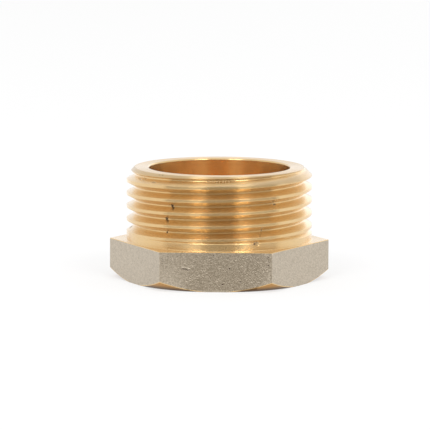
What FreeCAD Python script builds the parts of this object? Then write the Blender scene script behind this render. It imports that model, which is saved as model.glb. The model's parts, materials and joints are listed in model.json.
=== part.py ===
"""Hollow hexagon-head pipe plug, turned from hexagon brass bar, with a G 1 parallel pipe thread.

The plug stands on the outer face of its head with the thread pointing up. The origin is the centre of
that face, Z runs along the thread's axis and one flat of the hexagon faces -Y. All sizes are in mm.
The part is one solid: head, collar, threaded shank and a blind bore that opens at the top.
"""
import FreeCAD
import Part
import math
import os

Vector = FreeCAD.Vector

# Hexagon head
head_across_flats = 34.0
head_height = 7.0
head_chamfer_diameter = 34.2
head_chamfer_height = 1.65

# Plain collar that the thread leaves between itself and the shoulder
collar_height = 1.3

# Thread, 11 turns to the inch with flanks at 55 degrees, right-handed
thread_diameter = 33.2
thread_length = 11.7
thread_pitch = 25.4 / 11
thread_flank_angle = 55.0
thread_crest_width = 0.385
thread_depth = 1.45
thread_crest_rise = 2.02

# Run-out: the angle to the axis of the cone along which the groove dies away towards the collar
runout_angle = 45.0

# Lead-in chamfer at the thread's open end: how far it reaches in from the crests, and its slope
lead_in_depth = 1.4
lead_angle = 45.0

# Blind bore
bore_diameter = 25.2
bore_depth = 16.0
bore_floor_chamfer = 1.0
bore_mouth_chamfer = 0.1

# How far cutting shapes pass beyond the faces they cut
overcut = 0.25

UP = Vector(0, 0, 1)
CENTRE = Vector(0, 0, 0)

shoulder_z = head_height
collar_top_z = shoulder_z + collar_height
top_z = collar_top_z + thread_length
crest_radius = thread_diameter / 2
bore_radius = bore_diameter / 2


def point(radius, z):
    """A point of an axial half section."""
    return Vector(radius, 0, z)


def closed_wire(edges):
    return Part.Wire(Part.__sortEdges__([e.toShape() for e in edges]))


def polygon_edges(points):
    """Straight edges through the points and back to the first."""
    return [Part.LineSegment(a, b) for a, b in zip(points, points[1:] + points[:1])]


def turned(edges):
    """The solid of revolution of a closed half section."""
    return Part.Face(closed_wire(edges)).revolve(CENTRE, UP, 360)


def hexagon_head():
    """Hexagon bar whose outer corners are turned off by a shallow cone."""
    corner_radius = head_across_flats / math.sqrt(3)
    corners = []
    for k in range(6):
        angle = math.radians(60 * k)
        corners.append(Vector(corner_radius * math.cos(angle), corner_radius * math.sin(angle), 0))
    bar = Part.Face(closed_wire(polygon_edges(corners))).extrude(UP * head_height)

    face_radius = head_chamfer_diameter / 2
    slope = head_chamfer_height / (corner_radius - face_radius)
    outside = corner_radius + overcut
    cone = turned(polygon_edges([
        point(0, 0),
        point(face_radius, 0),
        point(outside, (outside - face_radius) * slope),
        point(outside, head_height),
        point(0, head_height),
    ]))
    return bar.common(cone)


def turned_blank():
    """The plain cylinder on the shoulder that the thread is cut into, with its lead-in chamfer."""
    chamfer_z = top_z - lead_in_depth * math.tan(math.radians(lead_angle))
    return turned(polygon_edges([
        point(0, shoulder_z),
        point(crest_radius, shoulder_z),
        point(crest_radius, chamfer_z),
        point(crest_radius - lead_in_depth, top_z),
        point(0, top_z),
    ]))


def groove_section(z):
    """Outline of the thread's groove at height z: two straight flanks and a narrow flat root."""
    flank = math.tan(math.radians(thread_flank_angle / 2))
    half_mouth = (thread_pitch - thread_crest_width) / 2
    half_root = half_mouth - thread_depth * flank
    half_outer = half_mouth + overcut * flank
    root = crest_radius - thread_depth
    outer = crest_radius + overcut
    return closed_wire(polygon_edges([
        point(outer, z - half_outer),
        point(root, z - half_root),
        point(root, z + half_root),
        point(outer, z + half_outer),
    ]))


def thread_groove():
    """One continuous right-handed groove, from inside the collar to beyond the open end."""
    start_z = shoulder_z + thread_crest_rise + thread_pitch / 2
    start_z -= thread_pitch * math.ceil((start_z - collar_top_z) / thread_pitch + 1)
    turns = math.ceil((top_z - start_z) / thread_pitch + 1)
    helix = Part.makeHelix(thread_pitch, turns * thread_pitch, crest_radius)
    helix.translate(UP * start_z)
    sweep = Part.BRepOffsetAPI.MakePipeShell(helix)
    sweep.setBiNormalMode(UP)
    sweep.add(groove_section(start_z))
    sweep.build()
    sweep.makeSolid()
    groove = sweep.shape()
    # the crest of stated height faces the front flat, a quarter turn back from where the sweep starts
    groove.rotate(CENTRE, UP, -90)
    return groove


def cutting_space():
    """Where the thread is cut: all round the shank above the run-out cone, which starts at the collar."""
    rise = 1 / math.tan(math.radians(runout_angle))
    inside = crest_radius - thread_depth - overcut
    outside = crest_radius + 2 * overcut
    return turned(polygon_edges([
        point(inside, collar_top_z + (crest_radius - inside) * rise),
        point(outside, collar_top_z + (crest_radius - outside) * rise),
        point(outside, top_z + overcut),
        point(inside, top_z + overcut),
    ]))


def threaded_shank():
    """The turned blank with the groove cut into it, which dies away before it reaches the collar."""
    return turned_blank().cut(thread_groove().common(cutting_space()))


def bore():
    """Blind bore with a bevelled floor and a broken edge at its mouth."""
    floor_z = top_z - bore_depth
    mouth_z = top_z + overcut
    mouth_radius = bore_radius + bore_mouth_chamfer + overcut
    return turned(polygon_edges([
        point(0, floor_z),
        point(bore_radius - bore_floor_chamfer, floor_z),
        point(bore_radius, floor_z + bore_floor_chamfer),
        point(bore_radius, top_z - bore_mouth_chamfer),
        point(mouth_radius, mouth_z),
        point(0, mouth_z),
    ]))


def plug_body():
    """Head and shank as one turned piece, bored from the thread's end."""
    return hexagon_head().fuse(threaded_shank()).cut(bore()).removeSplitter()


def save(name, shape):
    if not shape.isValid() or len(shape.Solids) != 1:
        raise RuntimeError(name + " is not one valid solid")
    shape.Solids[0].exportStep(os.path.join("parts", name + ".step"))
    print(name, "volume", round(shape.Volume, 2), "mm3, faces", len(shape.Faces))


os.makedirs("parts", exist_ok=True)
save("plug_body", plug_body())
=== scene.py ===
"""Looks of a hollow hexagon-head pipe plug: turned brass with plated flats, on a plain studio floor."""

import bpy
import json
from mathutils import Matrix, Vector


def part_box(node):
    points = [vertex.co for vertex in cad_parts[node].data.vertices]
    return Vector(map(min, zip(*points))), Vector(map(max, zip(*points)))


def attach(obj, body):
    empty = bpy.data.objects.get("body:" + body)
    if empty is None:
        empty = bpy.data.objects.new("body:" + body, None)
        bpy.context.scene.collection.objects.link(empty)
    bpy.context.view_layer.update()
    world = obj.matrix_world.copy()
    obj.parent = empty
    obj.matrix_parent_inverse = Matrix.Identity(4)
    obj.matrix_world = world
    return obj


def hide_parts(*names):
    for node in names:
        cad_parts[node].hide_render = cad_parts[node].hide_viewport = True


bl_info = {
    "name": "Hexagon-head pipe plug",
    "version": (1, 0, 0),
    "blender": (4, 5, 0),
    "location": "View3D > Sidebar > Pipe plug",
    "description": "Turns the threaded plug on its hexagon head and sets the studio around it",
    "category": "Object",
}

import json
import math
from types import SimpleNamespace

import bpy
import bmesh
import numpy as np
from bpy.props import FloatProperty, FloatVectorProperty, IntProperty, PointerProperty
from mathutils import Euler, Matrix, Vector

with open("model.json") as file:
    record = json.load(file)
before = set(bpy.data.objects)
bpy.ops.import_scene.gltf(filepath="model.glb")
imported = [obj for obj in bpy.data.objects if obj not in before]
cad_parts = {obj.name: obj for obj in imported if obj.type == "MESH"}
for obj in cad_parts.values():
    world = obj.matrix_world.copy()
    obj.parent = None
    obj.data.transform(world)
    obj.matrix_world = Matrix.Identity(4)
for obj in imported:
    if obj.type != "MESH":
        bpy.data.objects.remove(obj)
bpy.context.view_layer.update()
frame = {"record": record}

NODE = "plug_body"
BODY = "root"
MM = 0.001
INCH = 0.0254
TURN = 2 * math.pi

# Turn from one corner of the hexagon to the next, and half of it
FLAT_TURN = math.radians(60)
HALF_FLAT_TURN = math.radians(30)

mounts = {mount["name"]: mount for mount in frame["record"]["mounts"]}
cad_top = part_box(NODE)[1].z

# Half of the 55 degrees between two flanks, and how far a flank runs along the axis for each unit of depth
FLANK_ANGLE = math.radians(27.5)
FLANK_SLOPE = math.tan(FLANK_ANGLE)

# How each band of the surface is finished
TURNED, PLATED, BORED, TARNISHED = range(4)

# Band of closely spaced rows at the collar's upper edge, where the groove dies away: how far it starts below
# that edge, how far above it ends, and the number of rows
RUNOUT_BELOW = 0.02 * MM
RUNOUT_ABOVE = 0.5 * MM
RUNOUT_ROWS = 9

# Points of the blank that are nearer than this become one: the seam, the two poles and rows that meet
MERGE_DISTANCE = 2e-6


def linear(hex_colour, alpha=1.0):
    """Linear colour of an sRGB hex value such as C8A070."""
    channels = [int(hex_colour[i:i + 2], 16) / 255 for i in (0, 2, 4)]
    curve = [c / 12.92 if c <= 0.04045 else ((c + 0.055) / 1.055) ** 2.4 for c in channels]
    return (*curve, alpha)


def length(name, description, default):
    """A length, in metres, that a user can change."""
    return FloatProperty(name=name, description=description, default=default, min=0.0,
                         subtype="DISTANCE", unit="LENGTH", precision=5)


def colour(name, description, default):
    """A colour that a user can change, given as sRGB hex."""
    return FloatVectorProperty(name=name, description=description, default=linear(default)[:3],
                               subtype="COLOR", size=3, min=0.0, max=1.0)


class PlugSizes(bpy.types.PropertyGroup):
    """Sizes of the plug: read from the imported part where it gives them, and otherwise as in its source.

    The softnesses, the lip and the mouth bevel are wear and polish that only the looks have."""
    across_flats: length("Across flats", "Width of the hexagon between opposite flats",
                         2 * mounts["wrench_flat_back"]["pos_m"][1])
    shoulder_height: length("Shoulder height", "Height of the shoulder above the head's outer face",
                            mounts["sealing_shoulder"]["pos_m"][2])
    overall_height: length("Overall height", "Height of the thread's open end", cad_top)
    thread_diameter: length("Thread diameter", "Diameter over the thread's crests",
                            2 * mounts["pipe_thread"]["dims"]["r_mm"] * MM)
    thread_length: length("Thread length", "From the collar's upper edge to the open end",
                          mounts["pipe_thread"]["dims"]["length_mm"] * MM)
    thread_pitch: length("Thread pitch", "From one crest to the next, 11 to the inch", INCH / 11)
    thread_depth: length("Thread depth", "Depth of the groove below the crests", 1.45 * MM)
    crest_width: length("Crest width", "Width of the flat left on the crests", 0.385 * MM)
    crest_rise: length("Crest rise", "Height of the first crest above the shoulder, at the front",
                       2.02 * MM)
    crest_softness: length("Upper crest softness", "How far the crests' upper edges are rounded",
                           0.12 * MM)
    crest_wear: length("Lower crest softness", "How far the crests' lower edges are rounded", 0.18 * MM)
    crest_lip: length("Lower crest lip", "How far metal drawn over the crests' lower edges widens them",
                      0.12 * MM)
    root_softness: length("Root softness", "How far the groove's root is rounded", 0.25 * MM)
    runout_angle: FloatProperty(name="Run-out angle", subtype="ANGLE", unit="ROTATION",
                                description="Angle to the axis of the cone on which the groove dies away",
                                default=math.radians(45))
    runout_softness: length("Run-out softness", "How far the groove's end is rounded", 0.1 * MM)
    cut_softness: length("Cut softness", "How far edges are rounded where the thread cuts the blank",
                         0.05 * MM)
    face_diameter: length("Open face diameter", "Outer diameter of the open end's flat ring", 30.4 * MM)
    bore_diameter: length("Bore diameter", "Inner diameter",
                          2 * mounts["blind_bore"]["dims"]["r_mm"] * MM)
    bore_depth: length("Bore depth", "From the open end to the bore's floor", 16.0 * MM)
    bore_bevel: length("Floor bevel", "Bevel where the bore's wall meets its floor", 1.0 * MM)
    mouth_bevel: length("Mouth bevel", "Broken edge at the bore's mouth", 0.18 * MM)
    chamfer_diameter: length("Head chamfer diameter", "Diameter of the head's turned outer face",
                             34.2 * MM)
    chamfer_height: length("Head chamfer height", "Height of the head's chamfer at the corners",
                           1.65 * MM)
    edge_softness: length("Edge softness", "Radius on the turned edges", 0.12 * MM)
    columns_per_flat: IntProperty(name="Columns per flat", description="Mesh columns across each flat",
                                  default=66, min=12)


def fillet(before, corner, after, radius, steps):
    """Points of a soft corner for every column: arrays of (radius, height), one row for each step.

    A corner with a short side is rounded by less than the radius, so that two roundings never meet."""
    to_before = before - corner
    to_after = after - corner
    len_before = np.maximum(np.linalg.norm(to_before, axis=1), 1e-9)
    len_after = np.maximum(np.linalg.norm(to_after, axis=1), 1e-9)
    reach = np.minimum(radius, 0.45 * np.minimum(len_before, len_after))[:, None]
    start = corner + to_before / len_before[:, None] * reach
    end = corner + to_after / len_after[:, None] * reach
    rows = []
    for t in np.linspace(0, 1, steps + 1):
        rows.append((1 - t) ** 2 * start + 2 * t * (1 - t) * corner + t ** 2 * end)
    return rows


def column_angles(sizes):
    """Angles of the mesh columns, closer together at the hexagon's corners. Both ends are the same seam."""
    corner_steps = np.radians([0.0, 0.12, 0.25, 0.5])
    plain = np.linspace(corner_steps[-1], FLAT_TURN - corner_steps[-1], sizes.columns_per_flat)[1:-1]
    one_flat = np.concatenate([corner_steps, plain, FLAT_TURN - corner_steps[:0:-1]])
    angles = [-math.pi + k * FLAT_TURN + one_flat for k in range(6)]
    return np.concatenate(angles + [[math.pi]])


def hexagon_radius(sizes, angles):
    """Distance of the hexagon's outline from the axis, with its corners a little rounded."""
    apothem = sizes.across_flats / 2
    round_radius = sizes.edge_softness
    from_corner = np.abs((angles + HALF_FLAT_TURN) % FLAT_TURN - HALF_FLAT_TURN)
    flat = apothem / np.cos(HALF_FLAT_TURN - from_corner)
    centre = (apothem - round_radius) / math.cos(HALF_FLAT_TURN)
    inside = np.maximum(round_radius ** 2 - (centre * np.sin(from_corner)) ** 2, 0)
    rounded = centre * np.cos(from_corner) + np.sqrt(inside)
    return np.where(inside > 0, np.minimum(flat, rounded), flat)


def ring(radius, height, count):
    """One row of the mesh: (radius, height) for each of its columns."""
    return np.stack([np.broadcast_to(radius, count), np.broadcast_to(height, count)], axis=1)


def blank_corners(sizes, angles):
    """Corners of the turned blank's half section, each as one row of the mesh."""
    count = len(angles)
    hexagon = hexagon_radius(sizes, angles)
    corner_radius = sizes.across_flats / math.sqrt(3)
    face = sizes.chamfer_diameter / 2
    slope = sizes.chamfer_height / (corner_radius - face)
    shoulder = sizes.shoulder_height
    crest = sizes.thread_diameter / 2
    top = sizes.overall_height
    open_face = sizes.face_diameter / 2
    bore = sizes.bore_diameter / 2
    floor = top - sizes.bore_depth
    return SimpleNamespace(
        face_centre=ring(0.0, 0.0, count),
        foot=ring(np.minimum(hexagon, face), 0.0, count),
        crossing=ring(hexagon, np.maximum(hexagon - face, 0) * slope, count),
        edge=ring(hexagon, shoulder, count),
        collar_foot=ring(crest, shoulder, count),
        collar_top=ring(crest, top - sizes.thread_length, count),
        lead_in=ring(crest, top - (crest - open_face), count),
        rim=ring(open_face, top, count),
        mouth=ring(bore + sizes.mouth_bevel, top, count),
        wall_top=ring(bore, top - sizes.mouth_bevel, count),
        wall_foot=ring(bore, floor + sizes.bore_bevel, count),
        floor_edge=ring(bore - sizes.bore_bevel, floor, count),
        floor_centre=ring(0.0, floor, count),
    )


def between(start, end, shares, finish=TURNED):
    """Rows part of the way from one corner to the next."""
    return [(start + (end - start) * share, finish) for share in shares]


def soft_corner(before, corner, after, radius, steps=3, finish=TURNED, rounded=TURNED):
    """Rows of a rounded corner, with the finish of the band that leads to it and that of the rounding."""
    first, *others = fillet(before, corner, after, radius, steps)
    return [(first, finish), *((points, rounded) for points in others)]


def head_rows(sizes, at):
    """Rows from the middle of the head's outer face over chamfer, flats and shoulder and up the collar."""
    soft = sizes.edge_softness
    return [
        (at.face_centre, TURNED),
        *between(at.face_centre, at.foot, (0.3, 0.6, 0.85, 0.97)),
        *soft_corner(at.face_centre, at.foot, at.crossing, 0.8 * soft, rounded=TARNISHED),
        *soft_corner(at.foot, at.crossing, at.edge, 0.8 * soft, finish=TARNISHED),
        *between(at.crossing, at.edge, (0.25, 0.5, 0.75), PLATED),
        *soft_corner(at.crossing, at.edge, at.collar_foot, soft, finish=PLATED),
        *between(at.edge, at.collar_foot, (0.5,)),
        *soft_corner(at.edge, at.collar_foot, at.lead_in, 1.2 * soft),
        *between(at.collar_foot, at.collar_top, (0.35, 0.7)),
    ]


def thread_offsets(sizes):
    """Heights above a crest's middle at which the thread's outline bends, up to the next crest."""
    half_crest = sizes.crest_width / 2
    flank_foot = half_crest + sizes.thread_depth * FLANK_SLOPE
    mid_flank = (half_crest + flank_foot) / 2
    lip_edge = half_crest + sizes.crest_lip
    soft_shares = (-1, -0.5, 0, 0.5, 1)
    root_edges = [flank_foot + share * sizes.root_softness * FLANK_SLOPE for share in soft_shares]
    upper_edges = [half_crest + share * sizes.crest_softness * FLANK_SLOPE for share in soft_shares[::2]]
    lower_edges = [lip_edge + share * sizes.crest_wear * FLANK_SLOPE for share in soft_shares]
    far_side = [*root_edges[::-1], mid_flank, *lower_edges[::-1]]
    return [0.0, *upper_edges, mid_flank, *root_edges, sizes.thread_pitch / 2,
            *(sizes.thread_pitch - edge for edge in far_side)]


def thread_rows(sizes, angles, at, thread_end):
    """Rows of the shank from the collar's top: a few level ones, then rows that climb with the thread."""
    crest = sizes.thread_diameter / 2
    collar_top = at.collar_top[0, 1]
    level_end = collar_top + RUNOUT_ABOVE
    rows = []
    for height in np.linspace(collar_top - RUNOUT_BELOW, level_end, RUNOUT_ROWS):
        rows.append((ring(crest, height, len(angles)), TURNED))
    # the thread rises by one pitch a turn, from the front flat, which is a quarter turn before the angle 0
    climb = sizes.thread_pitch * (angles + TURN / 4) / TURN
    first = sizes.shoulder_height + sizes.crest_rise
    lowest = math.floor((level_end - first) / sizes.thread_pitch) - 2
    highest = math.ceil((thread_end - first) / sizes.thread_pitch) + 1
    for turn in range(lowest, highest + 1):
        for offset in thread_offsets(sizes):
            height = first + turn * sizes.thread_pitch + offset + climb
            if height.max() > level_end and height.min() < thread_end:
                height = np.clip(height, level_end, thread_end)
                past_lead_in = np.maximum(height - at.lead_in[:, 1], 0)
                rows.append((ring(crest - past_lead_in, height, len(angles)), TURNED))
    return rows


def bore_rows(sizes, at):
    """Rows from the open end's flat ring over the bore's mouth and down to the middle of its floor."""
    soft = sizes.edge_softness
    return [
        *between(at.rim, at.mouth, (0.5,)),
        *soft_corner(at.rim, at.mouth, at.wall_top, soft),
        *soft_corner(at.mouth, at.wall_top, at.wall_foot, soft),
        *between(at.wall_top, at.wall_foot, (0.1, 0.3, 0.5, 0.7, 0.9), BORED),
        *soft_corner(at.wall_top, at.wall_foot, at.floor_edge, 2 * soft, 2, BORED, BORED),
        *soft_corner(at.wall_foot, at.floor_edge, at.floor_centre, 2 * soft, 2, BORED, BORED),
        *between(at.floor_edge, at.floor_centre, (0.1, 0.4, 0.7, 1.0), BORED),
    ]


def plug_rows(sizes, angles):
    """Rows of the turned blank from the middle of the head's face to the middle of the bore's floor.

    Each row is (points, finish): the (radius, height) of every column, and the finish of the band that
    ends at the row."""
    at = blank_corners(sizes, angles)
    rim = soft_corner(at.lead_in, at.rim, at.mouth, sizes.edge_softness, steps=4)
    rim_start, _ = rim[0]
    thread_end = float(rim_start[0, 1])
    shank = thread_rows(sizes, angles, at, thread_end)
    return [*head_rows(sizes, at), *shank, *rim, *bore_rows(sizes, at)]


def plug_blank(sizes):
    """The unthreaded plug as one closed mesh, whose rows follow the thread where it will be cut."""
    angles = column_angles(sizes)
    rows = plug_rows(sizes, angles)
    count = len(angles)
    points = np.concatenate([row for row, _ in rows])
    turned = np.tile(angles, len(rows))
    radius, height = points.T
    vertices = np.stack([radius * np.cos(turned), radius * np.sin(turned), height], axis=1)
    faces = []
    finishes = []
    for i in range(len(rows) - 1):
        for j in range(count - 1):
            a = i * count + j
            faces.append((a, a + 1, a + count + 1, a + count))
            finishes.append(rows[i + 1][1])
    mesh = bpy.data.meshes.new("plug_blank")
    mesh.from_pydata(vertices.tolist(), [], faces)
    mark = mesh.attributes.new("finish", "INT", "FACE")
    mark.data.foreach_set("value", finishes)
    shaped = bmesh.new()
    shaped.from_mesh(mesh)
    bmesh.ops.remove_doubles(shaped, verts=shaped.verts, dist=MERGE_DISTANCE)
    bmesh.ops.recalc_face_normals(shaped, faces=shaped.faces)
    shaped.to_mesh(mesh)
    shaped.free()
    blank = bpy.data.objects.new("plug_blank", mesh)
    bpy.context.collection.objects.link(blank)
    return blank


def add_node(tree, kind, inputs=None, **settings):
    """Adds one node with its settings, and gives each named or numbered input a value or a link."""
    node = tree.nodes.new(kind)
    for name, value in settings.items():
        setattr(node, name, value)
    for key, value in (inputs or {}).items():
        if isinstance(value, bpy.types.NodeSocket):
            tree.links.new(value, node.inputs[key])
        else:
            node.inputs[key].default_value = value
    return node


def add_steps(tree, known, steps):
    """Adds a chain of Math nodes. Each step is (result, operation, operands): numbers or known names."""
    for result, operation, *operands in steps:
        inputs = {i: known.get(o, o) if isinstance(o, str) else o for i, o in enumerate(operands)}
        known[result] = add_node(tree, "ShaderNodeMath", inputs, operation=operation).outputs[0]
    return known


# Inputs of the thread's nodes: name, the size it comes from, and the share of that size
THREAD_INPUTS = (
    ("Crest radius", "thread_diameter", 0.5),
    ("Pitch", "thread_pitch", 1.0),
    ("Depth", "thread_depth", 1.0),
    ("Half crest", "crest_width", 0.5),
    ("Upper crest softness", "crest_softness", 1.0),
    ("Lower crest softness", "crest_wear", 1.0),
    ("Lower crest lip", "crest_lip", 1.0),
    ("Root softness", "root_softness", 1.0),
    ("Run-out softness", "runout_softness", 1.0),
    ("Cut softness", "cut_softness", 1.0),
)


def thread_tree(finishes):
    """Geometry nodes that cut the thread: every point outside the groove's outline moves in to it."""
    tree = bpy.data.node_groups.new("cut_pipe_thread", "GeometryNodeTree")
    face = tree.interface
    face.new_socket("Geometry", in_out="INPUT", socket_type="NodeSocketGeometry")
    face.new_socket("Geometry", in_out="OUTPUT", socket_type="NodeSocketGeometry")
    names = [name for name, _, _ in THREAD_INPUTS]
    names += ["First crest", "Collar top", "Flank angle", "Run-out angle"]
    for name in names:
        face.new_socket(name, in_out="INPUT", socket_type="NodeSocketFloat")
    for name in finishes:
        face.new_socket(name, in_out="INPUT", socket_type="NodeSocketMaterial")
    given = add_node(tree, "NodeGroupInput").outputs
    position = add_node(tree, "GeometryNodeInputPosition").outputs[0]
    parts = add_node(tree, "ShaderNodeSeparateXYZ", {0: position}).outputs
    known = {name: given[name] for name in names}
    known.update(x=parts[0], y=parts[1], z=parts[2])
    add_steps(tree, known, [
        # distance from the axis, and turns round it from the front flat
        ("xx", "MULTIPLY", "x", "x"),
        ("rr", "MULTIPLY_ADD", "y", "y", "xx"),
        ("radius", "SQRT", "rr"),
        ("angle", "ARCTAN2", "y", "x"),
        ("turns", "MULTIPLY_ADD", "angle", 1 / TURN, 0.25),
        # height over the middle of the nearest crest, and whether the point is below that
        ("climb", "MULTIPLY", "turns", "Pitch"),
        ("above", "SUBTRACT", "z", "First crest"),
        ("along", "SUBTRACT", "above", "climb"),
        ("half pitch", "MULTIPLY", "Pitch", 0.5),
        ("half pitch down", "MULTIPLY", "Pitch", -0.5),
        ("to side", "WRAP", "along", "half pitch", "half pitch down"),
        ("from crest", "ABSOLUTE", "to side"),
        ("below", "LESS_THAN", "to side", 0.0),
        # outline of the groove: crest, flank and root with their soft edges, and a lip on the lower edges
        ("extra softness", "SUBTRACT", "Lower crest softness", "Upper crest softness"),
        ("crest softness", "MULTIPLY_ADD", "below", "extra softness", "Upper crest softness"),
        ("crest edge", "MULTIPLY_ADD", "below", "Lower crest lip", "Half crest"),
        ("past crest", "SUBTRACT", "from crest", "crest edge"),
        ("flank", "TANGENT", "Flank angle"),
        ("drop", "DIVIDE", "past crest", "flank"),
        ("flank radius", "SUBTRACT", "Crest radius", "drop"),
        ("crested", "SMOOTH_MIN", "flank radius", "Crest radius", "crest softness"),
        ("root", "SUBTRACT", "Crest radius", "Depth"),
        ("rooted", "SMOOTH_MAX", "crested", "root", "Root softness"),
        # cone along which the groove dies away towards the collar
        ("over collar", "SUBTRACT", "z", "Collar top"),
        ("run-out slope", "TANGENT", "Run-out angle"),
        ("run-out depth", "MULTIPLY", "over collar", "run-out slope"),
        ("run-out", "SUBTRACT", "Crest radius", "run-out depth"),
        ("thread", "SMOOTH_MAX", "rooted", "run-out", "Run-out softness"),
        # the point's new place, nearer to the axis
        ("cut", "SMOOTH_MIN", "radius", "thread", "Cut softness"),
        ("share", "DIVIDE", "cut", "radius"),
        ("new x", "MULTIPLY", "x", "share"),
        ("new y", "MULTIPLY", "y", "share"),
        # only the shank above the collar is cut
        ("outside", "GREATER_THAN", "radius", "root"),
        ("on thread", "GREATER_THAN", "z", "Collar top"),
        ("chosen", "MULTIPLY", "outside", "on thread"),
    ])
    moved = add_node(tree, "ShaderNodeCombineXYZ", {0: known["new x"], 1: known["new y"], 2: parts[2]})
    cut = add_node(tree, "GeometryNodeSetPosition", {
        "Geometry": given["Geometry"], "Selection": known["chosen"], "Position": moved.outputs[0]})
    real = add_node(tree, "GeometryNodeRealizeInstances", {0: cut.outputs[0]})
    finish = add_node(tree, "GeometryNodeInputNamedAttribute", {"Name": "finish"}, data_type="INT")
    dressed = real
    for number, name in enumerate(finishes):
        band = add_node(tree, "FunctionNodeCompare", {"A": finish.outputs[0], "B": number},
                        data_type="INT", operation="EQUAL")
        dressed = add_node(tree, "GeometryNodeSetMaterial", {
            0: dressed.outputs[0], "Selection": band.outputs[0], "Material": given[name]})
    add_node(tree, "NodeGroupOutput", {0: dressed.outputs[0]})
    return tree


def cut_thread(blank, sizes, finishes):
    """Runs the thread's nodes on the blank and keeps the result as a plain mesh."""
    tree = thread_tree(finishes)
    values = {name: getattr(sizes, key) * share for name, key, share in THREAD_INPUTS}
    values["First crest"] = sizes.shoulder_height + sizes.crest_rise
    values["Collar top"] = sizes.overall_height - sizes.thread_length
    values["Flank angle"] = FLANK_ANGLE
    values["Run-out angle"] = sizes.runout_angle
    values.update(finishes)
    modifier = blank.modifiers.new("cut_thread", "NODES")
    modifier.node_group = tree
    for item in tree.interface.items_tree:
        if item.in_out == "INPUT" and item.name in values:
            modifier[item.identifier] = values[item.name]
    return plain_mesh(blank)


def plain_mesh(made):
    """The object's evaluated mesh; the object with its modifiers is removed."""
    bpy.context.view_layer.update()
    evaluated = made.evaluated_get(bpy.context.evaluated_depsgraph_get())
    mesh = bpy.data.meshes.new_from_object(evaluated)
    bpy.data.objects.remove(made)
    return mesh


def shade_evenly(mesh):
    """Smooth shading in which large faces stay flat and the soft edges between them take the bend."""
    holder = bpy.data.objects.new("shaded", mesh)
    bpy.context.collection.objects.link(holder)
    shading = holder.modifiers.new("even_shading", "WEIGHTED_NORMAL")
    shading.keep_sharp = True
    shading.mode = "FACE_AREA"
    return plain_mesh(holder)


# Wear marks, with lengths in mm: the finish that the mark is in; degrees round from the front flat, positive
# to its right; distance of its middle from the axis, and height; half sizes around, outwards and up; tilt in
# degrees; darkness; and rise of the surface
MARKS = (
    (TURNED, -30.7, 15.20, 14.76, 0.32, 0.50, 0.48, 0, 0.95, -0.12),
    (TURNED, -35.2, 15.20, 12.38, 0.30, 0.50, 0.46, 0, 0.85, -0.14),
    (TURNED, -34.9, 15.20, 9.80, 0.20, 0.40, 0.24, 0, 0.9, -0.06),
    (TURNED, -86.0, 15.85, 9.15, 0.70, 0.60, 0.30, 0, 1.0, 0.12),
    (TURNED, 41.0, 15.35, 14.80, 0.55, 0.40, 0.22, -10, 0.6, -0.04),
    (TURNED, 41.0, 15.65, 15.55, 0.30, 0.40, 0.25, 0, 0.4, -0.04),
    (TURNED, 30.0, 15.80, 10.95, 0.24, 0.60, 0.26, 0, 0.8, -0.06),
    (TURNED, 31.0, 15.20, 10.40, 0.20, 0.40, 0.18, 0, 0.7, -0.04),
    (TURNED, 25.6, 16.55, 8.30, 0.50, 0.40, 0.36, -20, 0.3, -0.16),
    (TURNED, 23.7, 16.55, 8.30, 0.16, 0.40, 0.42, 20, 1.0, -0.04),
    (TURNED, 25.2, 16.55, 8.55, 0.55, 0.40, 0.10, 5, 0.8, -0.02),
    (TURNED, -40.9, 15.35, 19.83, 0.20, 0.25, 0.12, 0, 0.7, -0.03),
    (TURNED, -38.3, 15.30, 19.86, 0.22, 0.25, 0.12, 0, 0.7, -0.03),
    (TURNED, -44.2, 15.90, 18.52, 0.75, 0.30, 0.12, 0, 0.6, -0.04),
    (TURNED, -62.4, 15.34, 19.32, 1.40, 0.40, 0.10, 6, 0.4, -0.05),
    (TURNED, -61.4, 15.59, 18.58, 1.10, 0.40, 0.10, 6, 0.3, -0.04),
    (TURNED, -4.6, 16.58, 18.18, 0.16, 0.20, 0.12, 0, 0.6, -0.03),
    (PLATED, -17.2, 17.80, 3.94, 1.10, 0.80, 0.11, 15, 1.0, -0.04),
    (PLATED, -16.8, 17.75, 4.20, 1.00, 0.80, 0.16, 13, 0.0, 0.08),
    (PLATED, -1.35, 17.00, 6.47, 0.30, 0.40, 0.11, 45, 1.0, -0.05),
    (PLATED, 7.95, 17.16, 4.14, 0.22, 0.40, 0.14, -30, 1.0, -0.05),
    (PLATED, 28.3, 19.30, 6.17, 0.18, 0.40, 0.10, 20, 0.9, -0.04),
    (PLATED, 28.4, 19.33, 5.38, 0.18, 0.40, 0.12, -10, 0.8, -0.04),
    (PLATED, 28.3, 19.31, 4.76, 0.16, 0.40, 0.18, 0, 1.0, -0.05),
    (PLATED, -28.8, 19.40, 5.80, 0.35, 0.40, 0.08, 10, 0.6, -0.03),
    (PLATED, -28.7, 19.38, 5.35, 0.40, 0.40, 0.08, 5, 0.6, -0.03),
    (PLATED, -28.9, 19.42, 4.90, 0.30, 0.40, 0.08, 0, 0.6, -0.03),
    (PLATED, 3.9, 17.04, 1.33, 0.32, 0.40, 0.12, -25, 1.0, -0.05),
    (PLATED, 14.3, 17.54, 1.80, 0.30, 0.40, 0.10, -5, 0.8, -0.03),
    (PLATED, -19.4, 18.03, 0.98, 0.28, 0.40, 0.08, 0, 0.6, -0.02),
    (PLATED, -9.7, 17.24, 0.78, 0.22, 0.40, 0.08, 0, 0.6, -0.02),
    # faint strokes of tool chatter at the top of the lead-in
    *((TURNED, angle, 15.35, 19.10, 0.09, 0.40, 0.36, 14, 0.15, -0.02)
      for angle in (-5.6, -4.7, -3.9, -2.6, -1.4, 0.3, 2.1, 4.4, 6.0, 8.3)),
)


# A mark in the turned brass that rises or sinks by this many millimetres is pressed into the mesh too
DENT_RISE = 0.1


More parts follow.
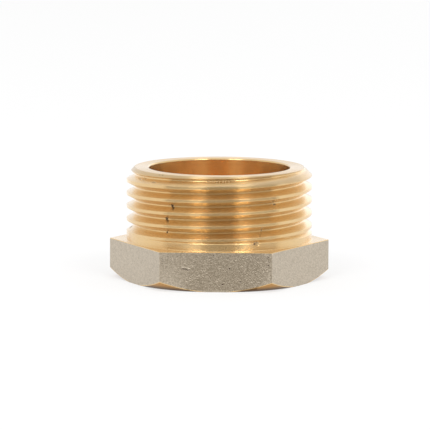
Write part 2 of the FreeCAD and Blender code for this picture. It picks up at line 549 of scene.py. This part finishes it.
def mark_frame(around, out, up, tilt):
    """Middle of a wear mark and the turn of its own axes, which run around, inwards and up."""
    turn = math.radians(around)
    centre = Vector((out * math.sin(turn), -out * math.cos(turn), up)) * MM
    return centre, Euler((0, math.radians(tilt), turn))


def press_dents(mesh):
    """Moves the mesh towards the axis at the deepest nicks in the turned brass and outwards at the burr."""
    points = np.empty(3 * len(mesh.vertices))
    mesh.vertices.foreach_get("co", points)
    points = points.reshape(-1, 3)
    for finish, around, out, up, *half_sizes, tilt, darkness, rise in MARKS:
        if finish == TURNED and abs(rise) >= DENT_RISE:
            centre, turn = mark_frame(around, out, up, tilt)
            local = (points - np.array(centre)) @ np.array(turn.to_matrix()) / (np.array(half_sizes) * MM)
            share = np.clip(1 - np.linalg.norm(local, axis=1), 0, 1)
            share = share * share * (3 - 2 * share)
            radius = np.linalg.norm(points[:, :2], axis=1)
            pressed = 1 + share * rise * MM / np.maximum(radius, MM)
            points[:, :2] *= pressed[:, None]
    mesh.vertices.foreach_set("co", points.ravel())
    mesh.update()


class PlugFinish(bpy.types.PropertyGroup):
    """Colours of the plug's finishes, and of the dirt on them, whose colour also paints shade along the
    head's foot.
    """
    brass: colour("Turned brass", "Colour of the bare turned brass", "EBCD98")
    brass_deep: colour("Deep brass", "Colour of the brass where it has darkened", "E0B97F")
    lead_in: colour("Lead-in haze", "Greyer colour that the coarsely cut lead-in takes on", "B2A591")
    tarnish: colour("Tarnished brass", "Colour of the brass on the head's chamfer", "C58E3A")
    bore: colour("Bored brass", "Colour of the brass inside the bore", "F8CB82")
    bore_deep: colour("Deep bored brass", "Colour of the darker bands inside the bore", "D19B53")
    plate: colour("Nickel plate", "Colour of the blasted, plated flats", "CABDA9")
    plate_dark: colour("Dark nickel", "Colour of the plate's low spots", "B2A591")
    # this colour also paints shade along the head's foot, besides the dirt and oxide in nicks and scratches
    grime_and_foot_shade: colour("Grime", "Colour of the dark dirt and oxide in nicks and scratches", "4A3420")


def new_material(name):
    """A material with no nodes yet."""
    material = bpy.data.materials.new(name)
    material.use_nodes = True
    material.node_tree.nodes.clear()
    return material


def worn(tree, place, finish):
    """Darkness, and rise in millimetres, of the wear marks on one finish: ellipsoids with ragged edges."""
    # the edges fray with a grain of 0.3 mm
    ragged = add_node(tree, "ShaderNodeTexNoise", {
        "Vector": place, "Scale": 1 / (0.3 * MM), "Detail": 2.0})
    known = {"ragged": ragged.outputs[0], "darkness": 0.0, "rise": 0.0}
    for kind, around, out, up, *half_sizes, tilt, darkness, rise in MARKS:
        if kind == finish:
            centre, turn = mark_frame(around, out, up, tilt)
            local = add_node(tree, "ShaderNodeMapping", {
                "Vector": place, "Location": centre, "Rotation": turn,
                "Scale": [half * MM for half in half_sizes]}, vector_type="TEXTURE")
            known["away"] = add_node(tree, "ShaderNodeVectorMath", {0: local.outputs[0]},
                                     operation="LENGTH").outputs["Value"]
            # on average a mark is whole within 0.4 of its half sizes and has gone at 1.0 of them
            add_steps(tree, known, [("edge", "MULTIPLY_ADD", "ragged", 0.6, "away")])
            known["share"] = ramp(tree, known["edge"], 1.3, 0.7)
            add_steps(tree, known, [
                ("dark", "MULTIPLY", "share", darkness),
                ("darkness", "MAXIMUM", "darkness", "dark"),
                ("rise", "MULTIPLY_ADD", "share", rise, "rise"),
            ])
    return known["darkness"], known["rise"]


def ramp(tree, value, start, end):
    """A soft step from 0 where the value is at its start to 1 at its end."""
    return add_node(tree, "ShaderNodeMapRange", {"Value": value, "From Min": start, "From Max": end},
                    interpolation_type="SMOOTHSTEP").outputs[0]


def cylinder_steps(tree, place):
    """Distance from the axis, height and the parts of the direction round it, from Object coordinates."""
    parts = add_node(tree, "ShaderNodeSeparateXYZ", {0: place}).outputs
    return add_steps(tree, {"x": parts[0], "y": parts[1], "z": parts[2]}, [
        ("xx", "MULTIPLY", "x", "x"),
        ("rr", "MULTIPLY_ADD", "y", "y", "xx"),
        ("radius", "SQRT", "rr"),
        ("back", "MULTIPLY", "y", -1.0),
    ])


def add_metal(tree, tone, roughness, drawn_out, normal, tangent, grime_and_foot_shade, darkness, dullness=0.0, oil=0.6):
    """The metal's shader, which turns to dark dirt, hardly metallic and rougher, where it is dark with wear.

    A dull place is a little rougher too. A quarter turn draws the reflection out across the cut."""
    known = add_steps(tree, {"darkness": darkness, "dullness": dullness}, [
        ("metallic", "MULTIPLY_ADD", "darkness", -0.8, 1.0),
        ("clean", "MULTIPLY_ADD", "dullness", 0.14, roughness),
        ("roughness", "MULTIPLY_ADD", "darkness", 0.3, "clean"),
    ])
    soiled = add_node(tree, "ShaderNodeMix", {
        "Factor": darkness, "A": tone, "B": (*grime_and_foot_shade, 1.0)}, data_type="RGBA")
    # a thin film of oil: colourless, so it whitens the metal only where it is seen edge-on
    inputs = {"Metallic": known["metallic"], "Roughness": known["roughness"], "Anisotropic": drawn_out,
              "Anisotropic Rotation": 0.25, "Normal": normal, "Coat Weight": oil, "Coat Roughness": 0.25,
              "Coat Normal": normal}
    if tangent:
        inputs["Tangent"] = tangent
    shader = add_node(tree, "ShaderNodeBsdfPrincipled", inputs)
    tree.links.new(soiled.outputs["Result"], shader.inputs["Base Color"])
    add_node(tree, "ShaderNodeOutputMaterial", {0: shader.outputs[0]})


def lathe_finish(name, sizes, finish, light, deep, roughness, drawn_out, oil=0.6, dirt=0.0):
    """Brass cut on a lathe: a warm reflection, sharp along the cut and drawn out across its fine lines.

    Its colour wanders from the light one to the deep one. How far the reflection is drawn out, how much oil
    is on the metal and how far its foot is darkened by dirt and painted shade are shares from 0 to 1."""
    material = new_material(name)
    tree = material.node_tree
    place = add_node(tree, "ShaderNodeTexCoord").outputs["Object"]
    known = cylinder_steps(tree, place)
    section = add_node(tree, "ShaderNodeCombineXYZ", {0: known["radius"], 2: known["z"]}).outputs[0]
    around = add_node(tree, "ShaderNodeCombineXYZ", {0: known["back"], 1: known["x"]}).outputs[0]
    tangent = add_node(tree, "ShaderNodeVectorMath", {0: around}, operation="NORMALIZE").outputs[0]
    # turning lines a quarter of a millimetre apart, coarser than real ones so that they show
    lines = add_node(tree, "ShaderNodeTexNoise", {
        "Vector": section, "Scale": 1 / (0.25 * MM), "Detail": 2.0, "Roughness": 0.6})
    # the lead-in, along which radius and height have one sum, is cut more coarsely and reflects less clearly;
    # that fades in over the last 0.3 mm before its edges
    add_steps(tree, known, [("sum", "ADD", "radius", "z")])
    on_lead_in = sizes.overall_height + sizes.face_diameter / 2
    known["lead-in"] = ramp(tree, known["sum"], on_lead_in - 0.3 * MM, on_lead_in - 0.05 * MM)
    add_steps(tree, known, [
        ("cut", "MULTIPLY_ADD", "lead-in", 0.6, 0.25),
        ("haze", "MULTIPLY", "lead-in", 0.22),
    ])
    turned = add_node(tree, "ShaderNodeBump", {
        "Height": lines.outputs[0], "Strength": known["cut"], "Distance": 0.02 * MM})
    known["darkness"], rise = worn(tree, place, TURNED)
    bump = add_node(tree, "ShaderNodeBump", {
        "Height": rise, "Strength": 1.0, "Distance": MM, "Normal": turned.outputs[0]})
    # dirt, and painted shade of the plug's shadow on the floor as the chamfer would mirror it, darken the
    # last millimetre above what the plug stands on
    known["lowest"] = ramp(tree, known["z"], 1.1 * MM, 0.1 * MM)
    add_steps(tree, known, [("dirt", "MULTIPLY", "lowest", dirt)])
    # faint darkening in bands about four millimetres wide, drawn out along the axis
    drawn = add_node(tree, "ShaderNodeMapping", {"Vector": place, "Scale": (1, 1, 0.4)})
    bands = add_node(tree, "ShaderNodeTexNoise", {
        "Vector": drawn.outputs[0], "Scale": 1 / (4 * MM), "Detail": 3.0})
    tone = add_node(tree, "ShaderNodeMix", {
        "Factor": bands.outputs[0], "A": (*light, 1.0), "B": (*deep, 1.0)}, data_type="RGBA")
    hazy = add_node(tree, "ShaderNodeMix", {
        "Factor": known["haze"], "A": tone.outputs["Result"], "B": (*finish.lead_in, 1.0)},
        data_type="RGBA")
    # the foot darkens towards the bottom: dirt, and painted shade of the plug's shadow on the floor mirrored
    # there
    foot_dirt_and_shade = add_node(tree, "ShaderNodeMix", {
        "Factor": known["dirt"], "A": hazy.outputs["Result"], "B": (*finish.grime_and_foot_shade, 1.0)},
        data_type="RGBA")
    add_metal(tree, foot_dirt_and_shade.outputs["Result"], roughness, drawn_out, bump.outputs[0], tangent, finish.grime_and_foot_shade,
              known["darkness"], known["lead-in"], oil)
    return material


def turned_brass(sizes, finish):
    """Bare free-cutting brass off the lathe tool: bright, with sharp-sided streaks of light along it."""
    return lathe_finish("turned_brass", sizes, finish, finish.brass, finish.brass_deep, 0.26, 1.0)


def bored_brass(sizes, finish):
    """Brass of the drilled bore, which nothing has polished: a deeper colour, with softer streaks."""
    return lathe_finish("bored_brass", sizes, finish, finish.bore, finish.bore_deep, 0.26, 0.9)


def tarnished_brass(sizes, finish):
    """Brass of the head's chamfer, handled and stood on: browner and dry.

    Dirt and painted shade of the plug's shadow on the floor darken its lower edge.
    """
    return lathe_finish("tarnished_brass", sizes, finish, finish.tarnish, finish.tarnish, 0.3, 0.6,
                        oil=0.0, dirt=0.9)


def blasted_nickel(finish):
    """Nickel plate over blasted brass: a pale grey with a wrinkled grain and a broad, soft gloss."""
    material = new_material("blasted_nickel_plate")
    tree = material.node_tree
    place = add_node(tree, "ShaderNodeTexCoord").outputs["Object"]
    # wrinkled grain of the blasting, a third of a millimetre: creases where smooth noise passes its middle
    noise = add_node(tree, "ShaderNodeTexNoise", {
        "Vector": place, "Scale": 1 / (0.36 * MM), "Detail": 1.0, "Roughness": 0.5, "Distortion": 0.6})
    known = add_steps(tree, {"noise": noise.outputs[0]}, [
        ("from middle", "SUBTRACT", "noise", 0.5),
        ("crease", "ABSOLUTE", "from middle"),
    ])
    rough = add_node(tree, "ShaderNodeBump", {
        "Height": known["crease"], "Strength": 1.0, "Distance": 0.14 * MM})
    darkness, rise = worn(tree, place, PLATED)
    bump = add_node(tree, "ShaderNodeBump", {
        "Height": rise, "Strength": 1.0, "Distance": MM, "Normal": rough.outputs[0]})
    tone = add_node(tree, "ShaderNodeMix", {
        "Factor": ramp(tree, known["crease"], 0.0, 0.1), "A": (*finish.plate_dark, 1.0),
        "B": (*finish.plate, 1.0)}, data_type="RGBA")
    add_metal(tree, tone.outputs["Result"], 0.45, 0.0, bump.outputs[0], None, finish.grime_and_foot_shade, darkness)
    return material


class PLUG_OT_turn(bpy.types.Operator):
    """Turn the plug: hexagon head, collar, thread and bore as one piece"""
    bl_idname = "plug.turn"
    bl_label = "Turn the plug"

    def execute(self, context):
        sizes = context.scene.plug_sizes
        finish = context.scene.plug_finish
        finishes = {"Turned": turned_brass(sizes, finish), "Plated": blasted_nickel(finish),
                    "Bored": bored_brass(sizes, finish), "Tarnished": tarnished_brass(sizes, finish)}
        threaded = cut_thread(plug_blank(sizes), sizes, finishes)
        press_dents(threaded)
        mesh = shade_evenly(threaded)
        mesh.name = "turned_plug"
        plug = bpy.data.objects.new("turned_plug", mesh)
        context.collection.objects.link(plug)
        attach(plug, BODY)
        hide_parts(NODE)
        return {"FINISHED"}


class StageSettings(bpy.types.PropertyGroup):
    """The studio's camera, and the levels and colours of what stands round the plug."""
    camera_distance: length("Camera distance", "From the camera to the point it looks at", 0.55)
    camera_elevation: FloatProperty(name="Camera elevation", description="Angle above the horizon",
                                    default=math.radians(7.8195), subtype="ANGLE", unit="ROTATION")
    camera_azimuth: FloatProperty(name="Camera azimuth", description="Angle round from the front flat",
                                  default=math.radians(2.0614), subtype="ANGLE", unit="ROTATION")
    camera_roll: FloatProperty(name="Camera roll", description="Tilt of the picture",
                               default=math.radians(0.1798), subtype="ANGLE", unit="ROTATION")
    focal_length: FloatProperty(name="Focal length", description="On a 36 mm sensor, in millimetres",
                                default=257.09, min=1.0)
    aim_height: length("Aim height", "Height of the point that the camera looks at", 11.25 * MM)
    aim_side: FloatProperty(name="Aim to the side", description="Sideways offset of the point looked at",
                            default=-0.7564 * MM, subtype="DISTANCE", unit="LENGTH", precision=5)
    floor_colour: colour("Floor", "Colour of the floor", "F4F4F4")
    surround: FloatProperty(name="Surround", description="Level of the plain light all round",
                            default=0.9, min=0.0)
    backdrop: FloatProperty(name="Backdrop", default=1.0, min=0.0,
                            description="Level at which the surround is seen and mirrored")
    floor_matte: FloatProperty(name="Floor shadow", description="Share of the floor that takes shadows",
                               default=0.35, min=0.0, max=1.0, subtype="FACTOR")
    # painted reflections: colours of the glowing sheets for a darker front and the plug's shadow at its foot
    flag_colour: colour("Grey flag", "Colour of the flag on the floor in front of the plug", "827C74")
    near_colour: colour("Near flag", "Colour of the flag on the floor at the plug's foot", "B4ADA3")
    card_colour: colour("Dark card", "Colour of the cards behind the camera", "746F69")


# Soft lamps, with lengths in metres: name; degrees round from the front, positive to its right; distance
# along the floor; height of the middle; the lamp's own two sizes; degrees of tilt, from 0, facing the plug,
# to 90, facing down; and the brightness that its surface adds to the surround behind it
LAMPS = (
    ("strip_left", -28.2, 0.90, 0.84, 0.375, 0.46, 0, 6.5),
    ("strip_right", 35.2, 0.90, 0.84, 0.36, 0.46, 0, 6.5),
    ("front_above", 4, 1.00, 0.91, 2.2, 0.55, 90, 0.8),
    ("rear_right", 150, 0.90, 0.25, 0.80, 0.45, 0, 0.35),
    ("lit_floor_behind", 180, 0.50, 0.002, 1.60, 0.80, -90, 0.25),
)

# Painted reflections: grey sheets that glow and that only reflections see. They paint the darker side of the
# studio in front of the plug, and the plug's shadow on the floor at its foot: name; the setting with its
# colour;
# degrees round from the front at which it starts and ends; and the (radius, height) of its two long edges,
# in metres
SHEETS = (
    ("floor_flag", "flag_colour", -65, 75, ((0.07, 0.5 * MM), (0.9, 0.5 * MM))),
    ("low_card", "card_colour", -65, 75, ((0.9, 0.0), (0.9, 0.11))),
    ("tall_card", "card_colour", -16.5, 24, ((0.9, 0.33), (0.9, 0.64))),
    ("near_flag", "near_colour", -16.5, 24, ((0.017, 0.3 * MM), (0.07, 0.3 * MM))),
)

# Points along each of a sheet's two long edges
SHEET_COLUMNS = 25


def add_lamp(name, azimuth, distance, height, across, along, tilt, brightness):
    """A flat soft lamp, given by the brightness of its surface."""
    lamp = bpy.data.lights.new(name, "AREA")
    lamp.shape = "RECTANGLE"
    lamp.size = across
    lamp.size_y = along
    lamp.energy = brightness * math.pi * across * along
    holder = bpy.data.objects.new(name, lamp)
    bpy.context.collection.objects.link(holder)
    around = math.radians(azimuth)
    holder.location = (distance * math.sin(around), -distance * math.cos(around), height)
    holder.rotation_euler = (math.radians(90 - tilt), 0, around)
    holder.visible_camera = False


def seen_or_mirrored(tree):
    """1 for rays that show a thing to the camera or in a reflection, and 0 for those that only light."""
    rays = add_node(tree, "ShaderNodeLightPath").outputs
    known = {"camera": rays["Is Camera Ray"], "glossy": rays["Is Glossy Ray"]}
    add_steps(tree, known, [("either", "MAXIMUM", "camera", "glossy")])
    return known["either"]


def make_world(stage):
    """Plain white light from all round, which is seen a little brighter than it lights."""
    world = bpy.data.worlds.new("plain_studio")
    bpy.context.scene.world = world
    world.use_nodes = True
    tree = world.node_tree
    tree.nodes.clear()
    level = add_node(tree, "ShaderNodeMix", {
        "Factor": seen_or_mirrored(tree), "A": stage.surround, "B": stage.backdrop}, data_type="FLOAT")
    light = add_node(tree, "ShaderNodeBackground", {"Color": (1, 1, 1, 1), "Strength": level.outputs[0]})
    add_node(tree, "ShaderNodeOutputWorld", {0: light.outputs[0]})


def make_floor(stage):
    """A wide white floor that takes only part of the plug's shadow."""
    reach = 4.0
    mesh = bpy.data.meshes.new("floor")
    corners = [(-reach, -reach, 0), (reach, -reach, 0), (reach, reach, 0), (-reach, reach, 0)]
    mesh.from_pydata(corners, [], [(0, 1, 2, 3)])
    floor = bpy.data.objects.new("floor", mesh)
    bpy.context.collection.objects.link(floor)
    material = new_material("pale_matte_floor")
    tree = material.node_tree
    matte = add_node(tree, "ShaderNodeBsdfDiffuse", {"Color": (*stage.floor_colour, 1.0)})
    glow = add_node(tree, "ShaderNodeEmission", {
        "Color": (1, 1, 1, 1), "Strength": seen_or_mirrored(tree)})
    mixed = add_node(tree, "ShaderNodeMixShader", {
        0: 1 - stage.floor_matte, 1: matte.outputs[0], 2: glow.outputs[0]})
    add_node(tree, "ShaderNodeOutputMaterial", {0: mixed.outputs[0]})
    mesh.materials.append(material)


def make_sheet(name, sheet_colour, from_angle, to_angle, edges):
    """A plain sheet bent round the plug's axis between two edges, each given as (radius, height).

    It is a painted reflection: it glows in its own colour and shows only in reflections; the camera doesn't
    see it, and it lights nothing and shades nothing."""
    angles = np.radians(np.linspace(from_angle, to_angle, SHEET_COLUMNS))
    vertices = []
    for radius, height in edges:
        vertices += [(radius * math.sin(a), -radius * math.cos(a), height) for a in angles]
    faces = [(i, i + 1, i + 1 + SHEET_COLUMNS, i + SHEET_COLUMNS) for i in range(SHEET_COLUMNS - 1)]
    mesh = bpy.data.meshes.new(name)
    mesh.from_pydata(vertices, [], faces)
    material = new_material(name)
    plain = add_node(material.node_tree, "ShaderNodeEmission", {"Color": (*sheet_colour, 1.0)})
    add_node(material.node_tree, "ShaderNodeOutputMaterial", {0: plain.outputs[0]})
    mesh.materials.append(material)
    sheet = bpy.data.objects.new(name, mesh)
    bpy.context.collection.objects.link(sheet)
    sheet.visible_camera = False
    sheet.visible_diffuse = False
    sheet.visible_shadow = False


def make_camera(stage):
    """The camera, turned round the plug and looking down at the aim point."""
    camera = bpy.data.cameras.new("camera")
    camera.sensor_width = 36.0
    camera.lens = stage.focal_length
    camera.clip_start = 0.01
    camera.clip_end = 20.0
    holder = bpy.data.objects.new("camera", camera)
    bpy.context.collection.objects.link(holder)
    up = stage.camera_elevation
    turn = Matrix.Rotation(stage.camera_azimuth, 4, "Z")
    aim = Vector((stage.aim_side, 0, stage.aim_height))
    back = Vector((0, -math.cos(up), math.sin(up)))
    look = Euler((math.pi / 2 - up, 0, 0)).to_matrix().to_4x4()
    roll = Matrix.Rotation(stage.camera_roll, 4, "Z")
    holder.matrix_world = turn @ Matrix.Translation(aim + back * stage.camera_distance) @ look @ roll
    bpy.context.scene.camera = holder


class PLUG_OT_stage(bpy.types.Operator):
    """Set the stage: plain surround, floor, grey sheets, soft lamps and camera"""
    bl_idname = "plug.stage"
    bl_label = "Set the stage"

    def execute(self, context):
        stage = context.scene.plug_stage
        make_world(stage)
        make_floor(stage)
        for name, setting, *shape in SHEETS:
            make_sheet(name, getattr(stage, setting), *shape)
        for lamp in LAMPS:
            add_lamp(*lamp)
        make_camera(stage)
        context.scene.view_settings.view_transform = "Standard"
        return {"FINISHED"}


class PLUG_PT_panel(bpy.types.Panel):
    """Steps and settings of the pipe plug, in the 3D view's sidebar"""
    bl_idname = "PLUG_PT_panel"
    bl_label = "Pipe plug"
    bl_space_type = "VIEW_3D"
    bl_region_type = "UI"
    bl_category = "Pipe plug"

    def draw(self, context):
        scene = context.scene
        for step in STEPS:
            self.layout.operator(step.bl_idname)
        for group in (scene.plug_sizes, scene.plug_finish, scene.plug_stage):
            box = self.layout.box()
            for name in group.bl_rna.properties.keys():
                if name not in ("rna_type", "name"):
                    box.prop(group, name)


STEPS = (PLUG_OT_turn, PLUG_OT_stage)
GROUPS = {"plug_sizes": PlugSizes, "plug_finish": PlugFinish, "plug_stage": StageSettings}


def register():
    for cls in (*GROUPS.values(), *STEPS, PLUG_PT_panel):
        bpy.utils.register_class(cls)
    for name, group in GROUPS.items():
        setattr(bpy.types.Scene, name, PointerProperty(type=group))


def unregister():
    for name in GROUPS:
        delattr(bpy.types.Scene, name)
    for cls in (PLUG_PT_panel, *STEPS, *GROUPS.values()):
        bpy.utils.unregister_class(cls)


def main():
    """Makes the plug and its stage."""
    register()
    bpy.ops.plug.turn()
    bpy.ops.plug.stage()


if __name__ == "__main__":
    main()
